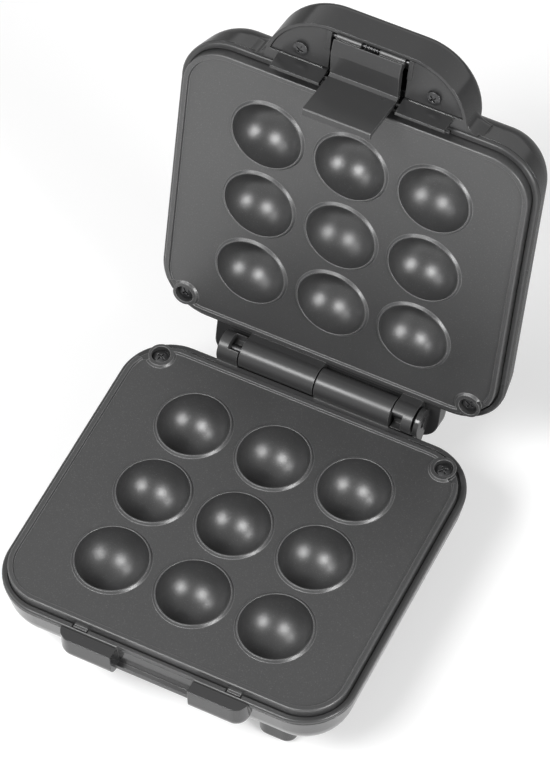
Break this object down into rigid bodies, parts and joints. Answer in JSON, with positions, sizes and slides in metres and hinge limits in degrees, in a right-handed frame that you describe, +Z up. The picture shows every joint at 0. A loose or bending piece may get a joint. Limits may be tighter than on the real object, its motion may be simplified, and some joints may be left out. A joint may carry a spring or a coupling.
{
  "type": "cake pop maker",
  "caption": "Countertop cake pop maker with hinged lid, half-round cups in two coated plates, handle with spring latch and short legs",
  "frame": {"origin": "middle of the bounding box, on the table, with the lid resting open", "axes": "+X to the right as seen from the front, along the hinge; +Y to the rear; +Z up"},
  "size_m": [0.1956, 0.276, 0.273],
  "materials": {
    "gloss_black_plastic": "polished",
    "satin_black_plastic": "satin",
    "coated_alloy": "nonstick coating",
    "steel": "plain",
    "black_steel": "blackened",
    "bright_alloy": "mill",
    "ceramic": "unglazed",
    "rubber": "matte",
    "red_lens": "clear tint",
    "green_lens": "clear tint"
  },
  "bodies": {
    "base": {"base_shell": "gloss_black_plastic", "base_frame": "satin_black_plastic", "lower_plate": "coated_alloy", "lower_plate_screws": "black_steel", "lower_heater": "steel", "lower_heat_shield": "bright_alloy", "thermostat": "ceramic", "terminal_block": "ceramic", "cord_inlet": "rubber", "base_case_screws": "steel", "rubber_feet": "rubber", "hinge_pin": "steel"},
    "lid": {"lid_shell": "gloss_black_plastic", "lid_frame": "satin_black_plastic", "upper_plate": "coated_alloy", "upper_plate_screws": "black_steel", "upper_heater": "steel", "upper_heat_shield": "bright_alloy", "thermal_fuse": "ceramic", "lid_case_screws": "steel", "power_lamp": "red_lens", "ready_lamp": "green_lens", "handle_cover": "gloss_black_plastic", "handle_cover_screws": "black_steel", "latch_pin": "steel", "latch_spring": "steel"},
    "latch": {"latch_clip": "satin_black_plastic"}
  },
  "joints": [
    {"name": "lid_hinge", "type": "hinge", "parent": "base", "child": "lid", "pos_m": [0, 0.05448, 0.0636], "axis": [1, 0, 0], "range_deg": [0, 104.4]},
    {"name": "latch_pivot", "type": "hinge", "parent": "lid", "child": "latch", "pos_m": [0, 0.11776, 0.26664], "axis": [-1, 0, 0], "range_deg": [-3.5, 34], "stiffness_Nm_per_rad": 0.05}
  ]
}
